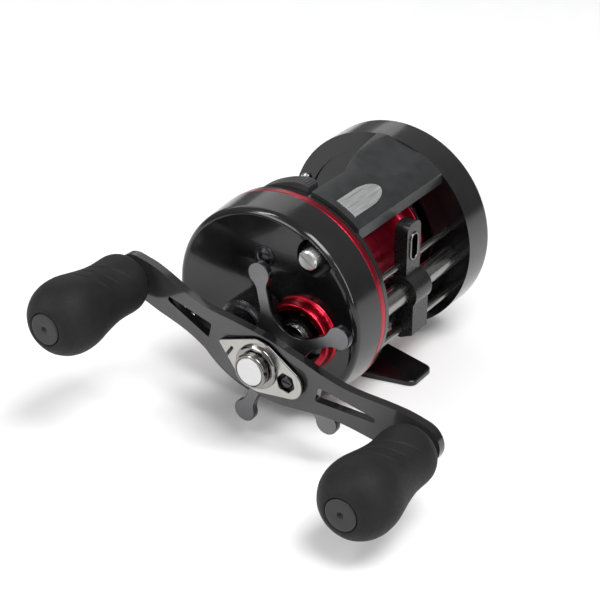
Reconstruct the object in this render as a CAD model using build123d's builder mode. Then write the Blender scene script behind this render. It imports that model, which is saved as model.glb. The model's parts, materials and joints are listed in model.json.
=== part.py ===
from build123d import *
from math import acos, atan2, cos, degrees, pi, radians, sin, sqrt, tan

# Round baitcasting reel, right-hand crank. Millimetres, +Z up, origin at the centre of the foot's underside.
# +X runs along the spool towards the palm side; the handle is on -X. The line leaves towards -Y.
# Radial places are (y, z) pairs measured from the spool axis, which lies AXIS_Z above the foot.

AXIS_Z = 32.0

# Frame and side plates: stations along X
HANDLE_RING_IN = -22.9
HANDLE_RING_OUT = -24.5
ACCENT_OUT = -27.1
BRIDGE_IN = -27.4
BRIDGE_OUT = -28.6
CAVITY_END = -36.9
HANDLE_FACE = -38.5
PALM_RING_IN = 23.3
PALM_RING_OUT = 24.8
PALM_WEB_OUT = 25.7
PALM_FACE = 37.2
BAY_LENGTH = PALM_RING_IN - HANDLE_RING_IN
RING_R = 31.4
PLATE_R = 31.5
PLATE_FACE_R = 30.7
PLATE_CORNER_R = 2.3
PALM_R = 31.9
WALL = 1.6
SPOOL_OPENING_R = 18.0

# Axes parallel to X, as (y, z) from the spool axis
MAIN = (-13.1, -3.1)
UPPER_ROD = (-23.3, 5.9)
LOWER_ROD = (-24.5, -14.3)
WORM_Z = -2.2
REAR_PILLAR = (25.3, -9.5)

# Gears
MODULE_DRIVE = 0.4273
DRIVE_TEETH = 53
PINION_TEETH = 10
MODULE_WIND = 0.5
WIND_DRIVE_TEETH = 31
WORM_GEAR_TEETH = 16
PRESSURE_ANGLE = 20.0
ADDENDUM = 0.8
DEDENDUM = 1.25
BACKLASH = 0.08
WIND_DISTANCE = MODULE_WIND * (WIND_DRIVE_TEETH + WORM_GEAR_TEETH) / 2
WORM = (MAIN[0] - sqrt(WIND_DISTANCE**2 - (WORM_Z - MAIN[1])**2), WORM_Z)

# Handle
ARM_TILT = 13.5
KNOB_REACH = 48.2
ARM_FRONT = 60.0
ARM_END_FRONT = 54.3
ARM_THICKNESS = 2.6
KNOB_END = -92.2

# Thumb screws: clock angle forward of the top, on one pitch circle
THUMB_SCREW_ANGLES = (37.0, 155.0, 246.0)
THUMB_SCREW_PITCH_R = 26.2

RUN = 0.06


def across(x, at=(0.0, 0.0), turn=0.0):
    """Plane square to X at x, centred on the (y, z) place, local x turned from +Y towards +Z."""
    return Plane(
        origin=(x, at[0], AXIS_Z + at[1]),
        x_dir=(0, cos(radians(turn)), sin(radians(turn))),
        z_dir=(1, 0, 0),
    )


def lengthwise(at=(0.0, 0.0)):
    """Plane that holds an axis parallel to X: local x is +X, local y is the distance from that axis."""
    return Plane(origin=(0, at[0], AXIS_Z + at[1]), x_dir=(1, 0, 0), z_dir=(0, -1, 0))


def axis_at(at=(0.0, 0.0)):
    """The axis parallel to X through the (y, z) place."""
    return Axis((0, at[0], AXIS_Z + at[1]), (1, 0, 0))


def clock(angle, radius):
    """(y, z) at a clock angle forward of the top."""
    return (-radius * sin(radians(angle)), radius * cos(radians(angle)))


def save(builder, label):
    """Name a finished piece and write its STEP file."""
    builder.part.label = label
    export_step(builder.part, f"parts/{label}.step")


def disc(x0, x1, radius, at=(0.0, 0.0), mode=Mode.ADD):
    """A plain disc from x0 to x1 on the open part, or a bore when subtracted."""
    with BuildSketch(across(x0, at)) as section:
        Circle(radius)
    extrude(section.sketch, amount=x1 - x0, mode=mode)


def spin(stations, at=(0.0, 0.0), mode=Mode.ADD):
    """Revolve a closed list of (x, radius) points on the open part."""
    with BuildSketch(lengthwise(at)) as section:
        with BuildLine():
            Polyline(*stations, close=True)
        make_face()
    revolve(section.sketch, axis=axis_at(at), mode=mode)


def turned(spans, r_out, r_in=0.0, places=((0.0, 0.0),)):
    """A plain ring, rod or washer over each (x0, x1) span at each of the (y, z) places."""
    with BuildPart() as piece:
        for place in places:
            for x0, x1 in spans:
                with BuildSketch(across(x0, place)):
                    Circle(r_out)
                    if r_in:
                        Circle(r_in, mode=Mode.SUBTRACT)
                extrude(amount=x1 - x0)
    return piece


def lathe(stations, at=(0.0, 0.0)):
    """A solid turned about an axis parallel to X from a closed list of (x, radius) points."""
    with BuildPart() as piece:
        spin(stations, at)
    return piece


def knurl(radius, depth, count):
    """Zigzag outline of a knurled round, for the open sketch."""
    points = []
    for step in range(2 * count):
        r = radius - depth * (step % 2)
        angle = pi * step / count
        points.append((r * cos(angle), r * sin(angle)))
    with BuildLine() as outline:
        Polyline(*points, close=True)
    make_face(outline.edges())


def involute(angle):
    return tan(angle) - angle


def gear_outline(module, teeth, first_tooth):
    """Corner points of an involute spur gear, one tooth centred on first_tooth degrees."""
    pitch_r = module * teeth / 2
    base_r = pitch_r * cos(radians(PRESSURE_ANGLE))
    tip_r = pitch_r + ADDENDUM * module
    root_r = pitch_r - DEDENDUM * module
    half_pitch = pi / (2 * teeth) - BACKLASH / (2 * pitch_r)
    at_pitch = half_pitch + involute(radians(PRESSURE_ANGLE))
    start_r = max(base_r, root_r)
    flank = []
    for step in range(4):
        radius = start_r + (tip_r - start_r) * step / 3
        flank.append((radius, at_pitch - involute(acos(min(1.0, base_r / radius)))))
    if root_r < base_r:
        flank.insert(0, (root_r, at_pitch))
    points = []
    for tooth in range(teeth):
        centre = radians(first_tooth) + 2 * pi * tooth / teeth
        for radius, half in flank:
            points.append((radius * cos(centre - half), radius * sin(centre - half)))
        for radius, half in reversed(flank):
            points.append((radius * cos(centre + half), radius * sin(centre + half)))
    return points


def gear_face(module, teeth, first_tooth):
    """The gear outline as a face on the open sketch."""
    with BuildLine() as outline:
        Polyline(*gear_outline(module, teeth, first_tooth), close=True)
    make_face(outline.edges())


def bearing_section(x0, x1, r_out, r_in):
    """Section of a ball bearing as one solid: two races with a shallow shield groove on each side."""
    middle = (r_out + r_in) / 2
    half_groove = (r_out - r_in) / 5
    depth = 0.2
    return [
        (x0, r_in), (x0, middle - half_groove), (x0 + depth, middle - half_groove),
        (x0 + depth, middle + half_groove), (x0, middle + half_groove), (x0, r_out),
        (x1, r_out), (x1, middle + half_groove), (x1 - depth, middle + half_groove),
        (x1 - depth, middle - half_groove), (x1, middle - half_groove), (x1, r_in),
    ]


# ---- frame: two rings, a web, a top bridge, a rear pillar and a foot pad, one casting ----
BRIDGE_R_OUT = 29.8
BRIDGE_R_IN = 27.2
WEB_R = 27.2
WEB_STEP_R = 26.5
WEB_IN = PALM_WEB_OUT - WALL
PILLAR_R = 2.8
UPPER_ROD_R = 1.0
LOWER_ROD_R = 1.3
SCREW_SHANK_R = 1.5
TUBE_R = 3.2
BUSHING_R = 2.6
BUTTON_SLOT = (10.6, 8.6)
BUTTON_SLOT_AT = (4.6, 23.2)
FOOT_THICKNESS = 2.2
PAD_TOP = 4.6
RIVET_R = 1.3
RIVETS = GridLocations(10, 11, 2, 2)
PALM_SCREW_R = 1.0
PALM_SCREW_PLACES = [clock(angle, 29.2) for angle in (150.0, 235.0, 292.0)]


def bay_rib(start, size):
    """Sector between the two bridge radii, angles counted from +Y towards +Z."""
    with BuildLine() as outline:
        outer = CenterArc((0, 0), BRIDGE_R_OUT, start, size)
        inner = CenterArc((0, 0), BRIDGE_R_IN, start, size)
        Line(outer @ 0, inner @ 0)
        Line(outer @ 1, inner @ 1)
    make_face(outline.edges())


with BuildPart() as frame:
    with BuildSketch(across(HANDLE_RING_OUT)):
        Circle(RING_R)
        Circle(SPOOL_OPENING_R, mode=Mode.SUBTRACT)
    extrude(amount=HANDLE_RING_IN - HANDLE_RING_OUT)
    with BuildSketch(across(PALM_RING_IN)):
        Circle(PALM_R)
        Circle(WEB_STEP_R, mode=Mode.SUBTRACT)
    extrude(amount=PALM_RING_OUT - PALM_RING_IN)
    with BuildSketch(across(WEB_IN)):
        Circle(WEB_R)
        Circle(SPOOL_OPENING_R, mode=Mode.SUBTRACT)
    extrude(amount=WALL)
    with BuildSketch(across(HANDLE_RING_IN)):
        bay_rib(99, 30)
        bay_rib(252, 36)
        with Locations(REAR_PILLAR):
            Circle(PILLAR_R)
    extrude(amount=BAY_LENGTH)
    with BuildSketch(Plane.XY.offset(FOOT_THICKNESS)):
        RectangleRounded(18, 20, 3)
    extrude(amount=PAD_TOP - FOOT_THICKNESS)
    with BuildSketch(Plane.XY.offset(FOOT_THICKNESS)):
        with RIVETS:
            Circle(RIVET_R)
    extrude(amount=PAD_TOP, mode=Mode.SUBTRACT)
    with BuildSketch(across(HANDLE_RING_OUT)):
        for angle in THUMB_SCREW_ANGLES:
            with Locations(clock(angle, THUMB_SCREW_PITCH_R)):
                Circle(SCREW_SHANK_R + RUN)
        with Locations(WORM):
            Circle(BUSHING_R)
        with Locations(BUTTON_SLOT_AT):
            Rectangle(*BUTTON_SLOT)
    extrude(amount=WALL, mode=Mode.SUBTRACT)
    with BuildSketch(across(WEB_IN, WORM)):
        Circle(BUSHING_R)
    extrude(amount=WALL, mode=Mode.SUBTRACT)
    with BuildSketch(across(PALM_RING_IN, WORM)):
        Circle(TUBE_R)
    extrude(amount=WEB_IN - PALM_RING_IN, mode=Mode.SUBTRACT)
    for rod_place, rod_r in ((UPPER_ROD, UPPER_ROD_R), (LOWER_ROD, LOWER_ROD_R)):
        with BuildSketch(across(HANDLE_RING_OUT, rod_place)):
            Circle(rod_r)
        extrude(amount=PALM_WEB_OUT - HANDLE_RING_OUT, mode=Mode.SUBTRACT)
    with BuildSketch(across(PALM_RING_IN)):
        with Locations(PALM_SCREW_PLACES):
            Circle(PALM_SCREW_R)
    extrude(amount=PALM_RING_OUT - PALM_RING_IN, mode=Mode.SUBTRACT)
save(frame, "frame")

# ---- foot: a riveted plate with thin rounded tips ----
FOOT_LENGTH = 61.0
FOOT_TIP_WIDTH = 11.0
FOOT_ROOT_WIDTH = 20.0
FOOT_TIP_THICKNESS = 1.5
with BuildPart() as reel_foot:
    with BuildSketch(Plane.XY):
        with BuildLine():
            half_tip = FOOT_TIP_WIDTH / 2
            half_root = FOOT_ROOT_WIDTH / 2
            end = FOOT_LENGTH / 2
            Polyline(
                (half_tip, end), (half_root, 10), (half_root, -10), (half_tip, -end),
                (-half_tip, -end), (-half_root, -10), (-half_root, 10), (-half_tip, end), close=True,
            )
        make_face()
    extrude(amount=FOOT_THICKNESS)
    fillet(reel_foot.edges().filter_by(Axis.Z).group_by(Axis.Y)[0], 2.6)
    fillet(reel_foot.edges().filter_by(Axis.Z).group_by(Axis.Y)[-1], 2.6)
    with BuildSketch(Plane.YZ.offset(-half_root)):
        with BuildLine():
            Polyline(
                (-end, 0), (end, 0), (end, FOOT_TIP_THICKNESS), (11, FOOT_THICKNESS),
                (-11, FOOT_THICKNESS), (-end, FOOT_TIP_THICKNESS), close=True,
            )
        make_face()
    extrude(amount=FOOT_ROOT_WIDTH, mode=Mode.INTERSECT)
    fillet(reel_foot.faces().filter_by(lambda face: face.normal_at().Z > 0.9).edges().filter_by(
        lambda edge: abs(edge.center().Y) > 12 and edge.length > 3 and abs(edge.center().X) > 1), 0.5)
    with BuildSketch(Plane.XY):
        with RIVETS:
            Circle(RIVET_R)
    extrude(amount=FOOT_THICKNESS, mode=Mode.SUBTRACT)
save(reel_foot, "reel_foot")

with BuildPart() as foot_rivets:
    with BuildSketch(Plane.XY.offset(0.15)):
        with RIVETS:
            Circle(RIVET_R)
    extrude(amount=PAD_TOP - 0.3)
save(foot_rivets, "foot_rivets")

# ---- thumb rest: a cover on the top bridge, wider and dished on the palm side ----
REST_R = 32.3
REST_FRONT_Y = -21.1
REST_REAR_Y = -5.2
REST_STEP_X = -5.5
DISH_R = 98.0
DISH_DEPTH = 1.3
DISH_ANGLE = 16.0
DISH_X = 14.0
BADGE_R = 32.6
BADGE_ANGLE = 28.3
BADGE_NEAR_X = -20.6
BADGE_FAR_X = -3.0
BADGE_WIDTH = 7.0
BADGE_ROUND = 8.5
BADGE_THICKNESS = 0.6


def badge_plane():
    """Plane square to the badge's own radius, local x along +X."""
    y, z = clock(BADGE_ANGLE, SPOOL_OPENING_R)
    normal = clock(BADGE_ANGLE, 1.0)
    return Plane(origin=(0, y, AXIS_Z + z), x_dir=(1, 0, 0), z_dir=(0, normal[0], normal[1]))


with BuildPart() as badge:
    with BuildSketch(badge_plane()):
        with BuildLine():
            half_badge = BADGE_WIDTH / 2
            shoulder = BADGE_FAR_X - BADGE_ROUND
            Polyline(
                (shoulder, half_badge), (BADGE_NEAR_X, half_badge), (BADGE_NEAR_X, -half_badge),
                (shoulder, -half_badge),
            )
            EllipticalCenterArc((shoulder, 0), BADGE_ROUND, half_badge, -90, arc_size=180)
        make_face()
    extrude(amount=BADGE_R)
    with BuildSketch(across(HANDLE_RING_IN)):
        Circle(BADGE_R)
        Circle(BADGE_R - BADGE_THICKNESS, mode=Mode.SUBTRACT)
    extrude(amount=BAY_LENGTH, mode=Mode.INTERSECT)
save(badge, "badge")

with BuildPart() as thumb_rest:
    with BuildSketch(across(HANDLE_RING_IN)):
        Circle(REST_R)
        Circle(BRIDGE_R_OUT, mode=Mode.SUBTRACT)
    extrude(amount=BAY_LENGTH)
    with BuildSketch(Plane.XY.offset(AXIS_Z)):
        with BuildLine():
            Polyline(
                (REST_STEP_X, REST_REAR_Y), (HANDLE_RING_IN, REST_REAR_Y), (HANDLE_RING_IN, REST_FRONT_Y),
                (PALM_RING_IN, REST_FRONT_Y), (PALM_RING_IN, 1.2),
            )
            ThreePointArc((PALM_RING_IN, 1.2), (10.5, -0.7), (REST_STEP_X, REST_REAR_Y))
        make_face()
    extrude(amount=PALM_R + 5, mode=Mode.INTERSECT)
    dish_y, dish_z = clock(DISH_ANGLE, REST_R - DISH_DEPTH + DISH_R)
    with Locations((DISH_X, dish_y, AXIS_Z + dish_z)):
        Sphere(DISH_R, mode=Mode.SUBTRACT)
    add(badge.part, mode=Mode.SUBTRACT)
save(thumb_rest, "thumb_rest")

# ---- handle side: accent ring, cup-shaped side plate, collar, screws ----
ACCENT_R_IN = 29.8
CAVITY_R = 29.6
KNOB_BOSS_R = 5.2
KNOB_BOSS_END = -44.0
MAIN_BOSS_R = 5.45
MAIN_BOSS_END = -42.3
ARB_R = 4.5
SLEEVE_R = 2.95
SHAFT_R = 2.5
HANDLE_BEARING = (-43.5, -41.0, 3.0)
POCKET_R = 5.6
POCKET_PITCH_R = 26.8
POCKET_LEAD = 1.3
POCKET_FLOOR = -34.6
POCKET_BACK = -33.4
PLATE_SCREW_AT = (-0.2, 17.0)
PLATE_SCREW_SHANK_R = 1.2
COLLAR_R = 10.3
COLLAR_BASE_R = 11.2
COLLAR_R_IN = 8.4
COLLAR_END = -42.5
COLLAR_CUT_R = 8.2
POCKET_PLACES = [clock(angle + POCKET_LEAD, POCKET_PITCH_R) for angle in THUMB_SCREW_ANGLES]
SCREW_PLACES = [clock(angle, THUMB_SCREW_PITCH_R) for angle in THUMB_SCREW_ANGLES]

save(
    lathe([
        (HANDLE_RING_OUT, ACCENT_R_IN), (HANDLE_RING_OUT, PLATE_R - 0.3), (HANDLE_RING_OUT - 0.3, PLATE_R),
        (ACCENT_OUT + 0.3, PLATE_R), (ACCENT_OUT, PLATE_R - 0.3), (ACCENT_OUT, ACCENT_R_IN),
    ]),
    "accent_ring",
)


def pocket_outline(radius, limit):
    """Rounds at the thumb-screw pockets that stop at a limit radius about the spool axis."""
    with Locations(POCKET_PLACES):
        Circle(radius)
    Circle(limit, mode=Mode.INTERSECT)


with BuildPart() as handle_side_plate:
    with BuildSketch(lengthwise()):
        with BuildLine():
            corner_x = HANDLE_FACE + PLATE_CORNER_R
            corner_r = PLATE_FACE_R - PLATE_CORNER_R
            Polyline(
                (HANDLE_FACE, corner_r), (HANDLE_FACE, 0), (CAVITY_END, 0), (CAVITY_END, CAVITY_R),
                (ACCENT_OUT, CAVITY_R), (ACCENT_OUT, PLATE_R), (corner_x, PLATE_FACE_R),
            )
            bulge = PLATE_CORNER_R * sin(radians(45))
            ThreePointArc((HANDLE_FACE, corner_r), (corner_x - bulge, corner_r + bulge), (corner_x, PLATE_FACE_R))
        make_face()
    revolve(axis=axis_at())
    disc(KNOB_BOSS_END, HANDLE_FACE, KNOB_BOSS_R)
    disc(MAIN_BOSS_END, HANDLE_FACE, MAIN_BOSS_R, MAIN)
    with BuildSketch(across(HANDLE_FACE + 0.2)):
        pocket_outline(POCKET_R + 1.2, CAVITY_R + 0.2)
    extrude(amount=POCKET_BACK - HANDLE_FACE - 0.2)
    with BuildSketch(across(KNOB_BOSS_END)):
        pocket_outline(POCKET_R, CAVITY_R)
    extrude(amount=POCKET_FLOOR - KNOB_BOSS_END, mode=Mode.SUBTRACT)
    for place in SCREW_PLACES:
        disc(POCKET_FLOOR, POCKET_BACK, SCREW_SHANK_R + 0.2, place, Mode.SUBTRACT)
    disc(KNOB_BOSS_END, CAVITY_END, SCREW_SHANK_R, mode=Mode.SUBTRACT)
    disc(KNOB_BOSS_END, HANDLE_BEARING[1], HANDLE_BEARING[2], mode=Mode.SUBTRACT)
    disc(MAIN_BOSS_END, CAVITY_END, ARB_R, MAIN, Mode.SUBTRACT)
    disc(HANDLE_FACE, CAVITY_END, PLATE_SCREW_SHANK_R, PLATE_SCREW_AT, Mode.SUBTRACT)
save(handle_side_plate, "handle_side_plate")

with BuildPart() as plate_screw:
    spin(
        [
            (BRIDGE_OUT, 0), (BRIDGE_OUT, PLATE_SCREW_SHANK_R), (HANDLE_FACE, PLATE_SCREW_SHANK_R),
            (HANDLE_FACE, 3.2), (HANDLE_FACE - 0.35, 3.1), (HANDLE_FACE - 0.35, 2.4),
            (HANDLE_FACE - 0.9, 2.0), (HANDLE_FACE - 1.2, 1.2), (HANDLE_FACE - 1.3, 0),
        ],
        PLATE_SCREW_AT,
    )
save(plate_screw, "plate_screw")

with BuildPart() as drag_collar:
    spin(
        [
            (HANDLE_FACE, COLLAR_R_IN), (HANDLE_FACE, COLLAR_BASE_R), (HANDLE_FACE - 0.8, COLLAR_R + 0.3),
            (COLLAR_END + 0.8, COLLAR_R), (COLLAR_END + 0.25, COLLAR_R - 0.25), (COLLAR_END, COLLAR_R - 0.8),
            (COLLAR_END, COLLAR_R_IN + 0.3), (COLLAR_END + 0.3, COLLAR_R_IN),
        ],
        MAIN,
    )
    disc(COLLAR_END, HANDLE_FACE, COLLAR_CUT_R, mode=Mode.SUBTRACT)
save(drag_collar, "drag_collar")

save(lathe(bearing_section(-42.0, -37.2, ARB_R, SLEEVE_R + 0.05), MAIN), "anti_reverse_bearing")

SCREW_HEAD_R = 3.0
SCREW_HEAD_END = -41.0
SCREW_HEAD_BACK = POCKET_FLOOR - 0.06
SCREW_TIP = -23.2
for side, place in zip(("front", "lower", "rear"), SCREW_PLACES):
    with BuildPart() as thumb_screw:
        with BuildSketch(across(SCREW_HEAD_END, place)):
            knurl(SCREW_HEAD_R, 0.16, 28)
        extrude(amount=SCREW_HEAD_BACK - SCREW_HEAD_END)
        spin(
            [
                (SCREW_HEAD_END, 0), (SCREW_HEAD_END, SCREW_HEAD_R - 0.55),
                (SCREW_HEAD_END + 0.6, SCREW_HEAD_R), (SCREW_HEAD_BACK - 0.5, SCREW_HEAD_R),
                (SCREW_HEAD_BACK, SCREW_HEAD_R - 0.5), (SCREW_HEAD_BACK, 0),
            ],
            place,
            Mode.INTERSECT,
        )
        disc(SCREW_HEAD_BACK, SCREW_TIP, SCREW_SHANK_R, place)
        with BuildSketch(across(SCREW_HEAD_END, place, 35)):
            Rectangle(2 * SCREW_HEAD_R, 0.9)
        extrude(amount=1.1, mode=Mode.SUBTRACT)
    save(thumb_screw, f"thumb_screw_{side}")

# ---- bridge plate inside the handle side: bearings, yoke posts, window for the yoke foot ----
PINION_BEARING_R = 4.0
PINION_SHOULDER_R = 2.5
BUSHING_BORE = 2.05
BUSHING_R_OUT = 3.5
JOURNAL_R = 2.0
YOKE_POSTS = ((0.0, 9.0), (0.0, -9.0))
POST_R = 0.8
FOOT_AT = (5.0, 12.2)
FOOT_R = 0.6
CLUTCH_TRAVEL = 4.0
YOKE_TRAVEL = 1.4
WINDOW = (2.6, 7.2)
WINDOW_AT = (5.0, 14.8)
BRIDGE_R = 29.4
with BuildPart() as bridge_plate:
    with BuildSketch(across(BRIDGE_OUT)):
        Circle(BRIDGE_R)
        Circle(PINION_BEARING_R, mode=Mode.SUBTRACT)
        with Locations(MAIN):
            Circle(BUSHING_R_OUT, mode=Mode.SUBTRACT)
        with Locations(SCREW_PLACES):
            Circle(SCREW_SHANK_R + 0.4, mode=Mode.SUBTRACT)
        with Locations(WINDOW_AT):
            RectangleRounded(*WINDOW, 0.6, mode=Mode.SUBTRACT)
        with Locations((14.0, 9.0), (14.0, -10.0), (3.0, -19.0)):
            Circle(4.2, mode=Mode.SUBTRACT)
    extrude(amount=BRIDGE_IN - BRIDGE_OUT)
    for place in YOKE_POSTS:
        disc(CAVITY_END, BRIDGE_OUT, POST_R, place)
    with BuildSketch(across(CAVITY_END, PLATE_SCREW_AT)):
        Circle(2 * PLATE_SCREW_SHANK_R)
        Circle(PLATE_SCREW_SHANK_R, mode=Mode.SUBTRACT)
    extrude(amount=BRIDGE_OUT - CAVITY_END)
save(bridge_plate, "bridge_plate")
save(lathe(bearing_section(BRIDGE_OUT, BRIDGE_IN, PINION_BEARING_R, PINION_SHOULDER_R + RUN)), "pinion_bearing")
save(turned([(BRIDGE_OUT - 0.2, BRIDGE_IN + 0.2)], BUSHING_R_OUT, BUSHING_BORE, [MAIN]), "drive_shaft_bushing")

SPRING_START = CAVITY_END
SPRING_LENGTH = 4.6
SPRING_WIRE_R = 0.22
with BuildPart() as yoke_springs:
    for place in YOKE_POSTS:
        with BuildLine() as coil:
            Helix(
                pitch=1.05,
                height=SPRING_LENGTH - 2 * SPRING_WIRE_R,
                radius=1.35,
                center=(SPRING_START + SPRING_WIRE_R, place[0], AXIS_Z + place[1]),
                direction=(1, 0, 0),
            )
        with BuildSketch(Plane(origin=coil.line @ 0, z_dir=coil.line % 0)):
            Circle(SPRING_WIRE_R)
        sweep(path=coil.line, is_frenet=True)
save(yoke_springs, "yoke_springs")

# ---- drive train on the crank axis ----
MESH_ANGLE = degrees(atan2(-MAIN[1], -MAIN[0]))
WIND_ANGLE = degrees(atan2(WORM[1] - MAIN[1], WORM[0] - MAIN[0]))
GEAR_OUT = -34.2
GEAR_IN = -31.0
DRAG_FLOOR = -32.0
DRAG_R = 9.2
SHAFT_END = -62.0
SHAFT_FLATS = 4.0
WIND_GEAR_SPAN = (-26.8, -25.3)
with BuildPart() as drive_shaft:
    spin(
        [
            (SHAFT_END, 0), (SHAFT_END, SHAFT_R - 0.4), (SHAFT_END + 0.4, SHAFT_R), (GEAR_IN, SHAFT_R),
            (GEAR_IN, 4.2), (GEAR_IN + 0.8, 4.2), (GEAR_IN + 0.8, SHAFT_R), (BRIDGE_OUT - 0.4, SHAFT_R),
            (BRIDGE_OUT - 0.4, JOURNAL_R), (-25.0, JOURNAL_R), (-25.0, 0),
        ],
        MAIN,
    )
    with BuildSketch(across(SHAFT_END, MAIN, ARM_TILT)):
        Circle(SHAFT_R + 0.5)
        Rectangle(3 * SHAFT_R, SHAFT_FLATS, mode=Mode.SUBTRACT)
    extrude(amount=-ARM_FRONT + ARM_THICKNESS - SHAFT_END, mode=Mode.SUBTRACT)
save(drive_shaft, "drive_shaft")

with BuildPart() as drive_gear:
    with BuildSketch(across(GEAR_OUT, MAIN)):
        gear_face(MODULE_DRIVE, DRIVE_TEETH, MESH_ANGLE)
        Circle(SHAFT_R, mode=Mode.SUBTRACT)
    extrude(amount=GEAR_IN - GEAR_OUT)
    disc(GEAR_OUT, DRAG_FLOOR, DRAG_R, MAIN, Mode.SUBTRACT)
save(drive_gear, "drive_gear")

WASHER_R = 9.0
save(turned([(-33.9, -33.2), (-32.7, DRAG_FLOOR)], WASHER_R, 3.2, [MAIN]), "drag_washers")
save(turned([(-33.2, -32.7)], WASHER_R, SHAFT_R, [MAIN]), "keyed_washer")
save(turned([(-34.8, -33.9)], WASHER_R, SHAFT_R, [MAIN]), "pressure_plate")
save(turned([(-43.6, -34.8)], SLEEVE_R, SHAFT_R, [MAIN]), "drive_sleeve")
save(
    lathe(
        [
            (-43.6, SHAFT_R), (-43.6, 3.2), (-43.85, 4.4), (-44.0, 4.4), (-44.1, 3.9), (-44.2, 4.4),
            (-44.35, 4.4), (-44.6, 3.2), (-44.6, SHAFT_R),
        ],
        MAIN,
    ),
    "spring_washers",
)

with BuildPart() as level_wind_drive_gear:
    with BuildSketch(across(WIND_GEAR_SPAN[0], MAIN)):
        gear_face(MODULE_WIND, WIND_DRIVE_TEETH, WIND_ANGLE)
        Circle(JOURNAL_R, mode=Mode.SUBTRACT)
        with PolarLocations(5.0, 4):
            Circle(1.2, mode=Mode.SUBTRACT)
    extrude(amount=WIND_GEAR_SPAN[1] - WIND_GEAR_SPAN[0])
save(level_wind_drive_gear, "level_wind_drive_gear")

# ---- pinion, yoke and clutch button ----
PINION_SPAN = (-35.3, -30.4)
GROOVE_SPAN = (-30.4, -29.4)
GROOVE_R = 1.7
SHOULDER_END = -26.6
SPOOL_TIP_R = 1.1
PIN_X = -27.0
PIN_R = 0.5
with BuildPart() as pinion:
    with BuildSketch(across(PINION_SPAN[0])):
        gear_face(MODULE_DRIVE, PINION_TEETH, MESH_ANGLE + 180 + 180 / PINION_TEETH)
    extrude(amount=PINION_SPAN[1] - PINION_SPAN[0])
    disc(*GROOVE_SPAN, GROOVE_R)
    disc(GROOVE_SPAN[1], SHOULDER_END, PINION_SHOULDER_R)
    disc(PINION_SPAN[0], SHOULDER_END, SPOOL_TIP_R + 0.08, mode=Mode.SUBTRACT)
    with BuildSketch(across(PIN_X - PIN_R - RUN)):
        Rectangle(2 * PIN_R + 2 * RUN, 3 * PINION_SHOULDER_R)
    extrude(amount=SHOULDER_END - PIN_X + PIN_R + RUN, mode=Mode.SUBTRACT)
save(pinion, "pinion")

YOKE_SPAN = (-30.3, -29.6)
LINK_SPAN = (-26.3, -25.5)
with BuildPart() as clutch_yoke:
    with BuildSketch(across(YOKE_SPAN[0])):
        with Locations((1.25, 0)):
            RectangleRounded(4.5, 23, 1.2)
        with Locations((4.0, 12.0)):
            RectangleRounded(4.6, 2.8, 1.0)
        Circle(GROOVE_R + 0.1, mode=Mode.SUBTRACT)
        with Locations(YOKE_POSTS):
            Circle(POST_R + 0.08, mode=Mode.SUBTRACT)
    extrude(amount=YOKE_SPAN[1] - YOKE_SPAN[0])
    disc(YOKE_SPAN[1], LINK_SPAN[0] - 0.1, FOOT_R, FOOT_AT)
save(clutch_yoke, "clutch_yoke")

BUTTON_SPAN = (-22.5, -17.5)
LUG_BOTTOM = 23.2
LUG_TOP = 27.2
RIB_COUNT = 21
RIB_GROOVE_R = 0.2
with BuildPart() as clutch_button:
    with BuildSketch(across(BUTTON_SPAN[0])):
        with BuildLine():
            pad_top = Spline((-3.9, 32.7), (-1.5, 33.35), (2.3, 32.9), (7.5, 31.1), (12.0, 28.6), (15.6, 25.4))
            pad_under = Spline((14.3, 24.3), (11.0, 26.6), (7.0, 28.5), (2.0, 29.9), (-3.9, 30.2))
            Line(pad_top @ 0, pad_under @ 1)
            Line(pad_top @ 1, pad_under @ 0)
        make_face()
        with Locations([pad_top @ ((rib + 0.5) / RIB_COUNT) for rib in range(RIB_COUNT)]):
            Circle(RIB_GROOVE_R, mode=Mode.SUBTRACT)
    extrude(amount=BUTTON_SPAN[1] - BUTTON_SPAN[0])
    with BuildSketch(across(BUTTON_SPAN[0])):
        with BuildLine():
            Polyline((0.2, LUG_BOTTOM), (9.0, LUG_BOTTOM), (9.0, 27.9), (0.2, 30.1), close=True)
        make_face()
    extrude(amount=1.2)
    with BuildSketch(across(LINK_SPAN[0])):
        with Locations((4.6, (LUG_BOTTOM + LUG_TOP) / 2)):
            Rectangle(8.8, LUG_TOP - LUG_BOTTOM)
    extrude(amount=BUTTON_SPAN[0] - LINK_SPAN[0])
    with BuildSketch(across(LINK_SPAN[0])):
        with Locations((2.5, 17.25)):
            RectangleRounded(11, 18.5, 1.5)
    extrude(amount=LINK_SPAN[1] - LINK_SPAN[0])
    ramp_start = FOOT_AT[1] + FOOT_R
    with BuildSketch(Plane(origin=(0, FOOT_AT[0] - 1, AXIS_Z), x_dir=(1, 0, 0), z_dir=(0, -1, 0))):
        with BuildLine():
            Polyline(
                (LINK_SPAN[0], ramp_start), (LINK_SPAN[0] - YOKE_TRAVEL, ramp_start + CLUTCH_TRAVEL),
                (LINK_SPAN[0] - YOKE_TRAVEL, ramp_start + CLUTCH_TRAVEL + 1.2),
                (LINK_SPAN[0], ramp_start + CLUTCH_TRAVEL + 1.2), close=True,
            )
        make_face()
    extrude(amount=-2.0)
save(clutch_button, "clutch_button")

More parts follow.
